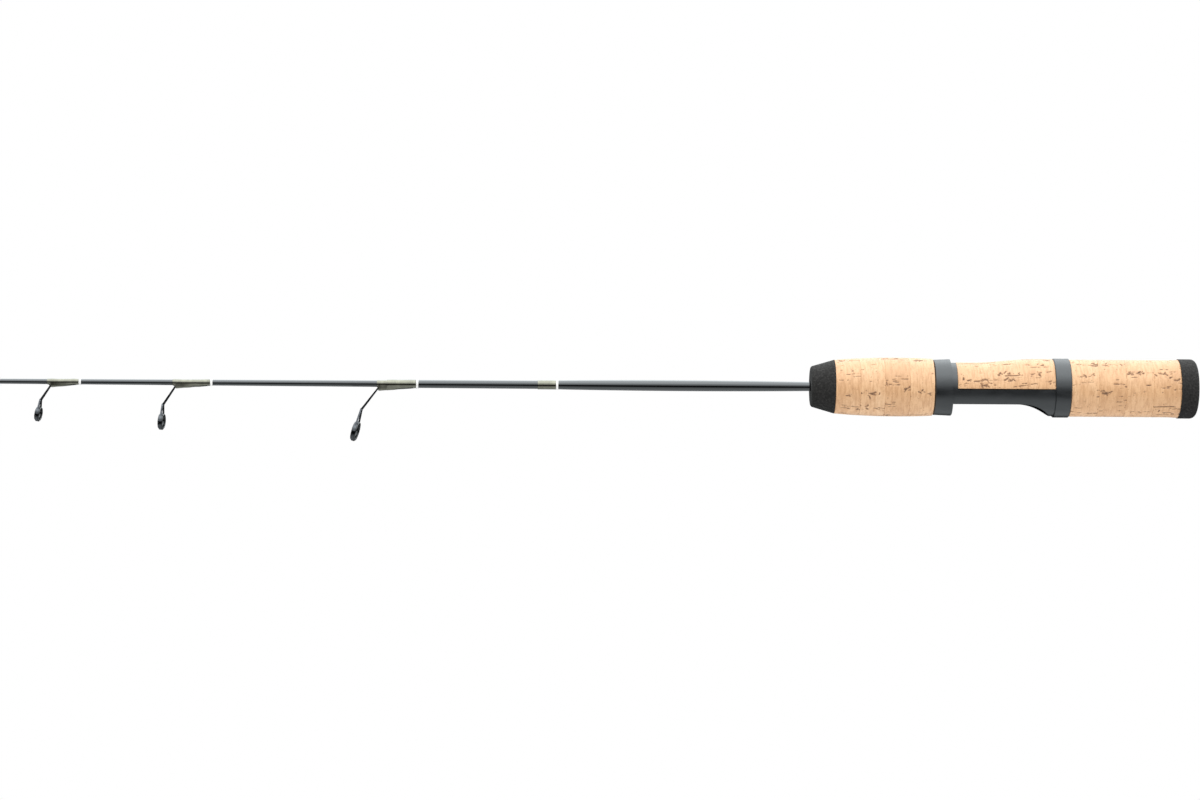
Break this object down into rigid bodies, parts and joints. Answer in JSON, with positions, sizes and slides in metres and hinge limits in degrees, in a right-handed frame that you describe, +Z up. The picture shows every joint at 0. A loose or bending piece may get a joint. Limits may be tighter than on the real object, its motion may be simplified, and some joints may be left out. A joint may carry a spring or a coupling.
{
  "type": "ice fishing rod",
  "caption": "Short spinning rod for ice fishing: slim black blank, hanging ring guides, split cork grip, and a cork fore grip that screws a sliding hood down on the reel foot.",
  "frame": {"origin": "centre of the butt cap's flat end, on the rod's axis", "axes": "+X along the rod's axis towards the butt, so the tip points to -X; +Z up with the guides and the reel hanging to -Z; +Y across the rod"},
  "size_m": [0.6096, 0.0292, 0.0428],
  "materials": {
    "cork": "natural cork, sanded, with dark pits",
    "foam": "black EVA foam, matt and finely pitted",
    "seat": "graphite-filled nylon, satin",
    "blank": "black lacquered graphite, glossy",
    "clear_coat": "thick clear coat over black, glossy",
    "thread": "olive brown nylon thread under clear epoxy",
    "trim": "white nylon thread under clear epoxy",
    "guide_metal": "black-plated stainless steel, polished",
    "ceramic": "black ceramic, polished",
    "bush": "rigid foam or paper bush, glued",
    "nut": "moulded nylon"
  },
  "bodies": {
    "rod": {"tip_blank": "blank", "butt_blank": "blank", "butt_coat": "clear_coat", "tip_top_tube": "guide_metal", "tip_top_frame": "guide_metal", "tip_top_ring": "ceramic", "guide_1_frame": "guide_metal", "guide_1_ring": "ceramic", "guide_1_wrap": "thread", "guide_1_trim": "trim", "guide_2_frame": "guide_metal", "guide_2_ring": "ceramic", "guide_2_wrap": "thread", "guide_2_trim": "trim", "guide_3_frame": "guide_metal", "guide_3_ring": "ceramic", "guide_3_wrap": "thread", "guide_3_trim": "trim", "marker_wrap": "thread", "marker_trim": "trim", "reel_seat_body": "seat", "cork_insert": "cork", "front_arbor": "bush", "rear_arbor": "bush", "rear_cork_1": "cork", "rear_cork_2": "cork", "rear_cork_3": "cork", "rear_cork_4": "cork", "butt_cap": "foam"},
    "hood": {"sliding_hood": "seat"},
    "fore_grip": {"nose_cone": "foam", "fore_cork_1": "cork", "fore_cork_2": "cork", "fore_cork_3": "cork", "fore_cork_4": "cork", "grip_nut": "nut", "hood_retainer": "nut"}
  },
  "joints": [
    {"name": "hood_slide", "type": "slide", "parent": "rod", "child": "hood", "axis": [1, 0, 0], "range_m": [0, 0.006]},
    {"name": "grip_turn", "type": "hinge", "parent": "hood", "child": "fore_grip", "pos_m": [-0.16, 0, 0], "axis": [1, 0, 0], "range_deg": [0, 1081]}
  ],
  "couplings": [
    {"joint": "grip_turn", "follows": "hood_slide", "rad_per_m": 3141.6}
  ]
}
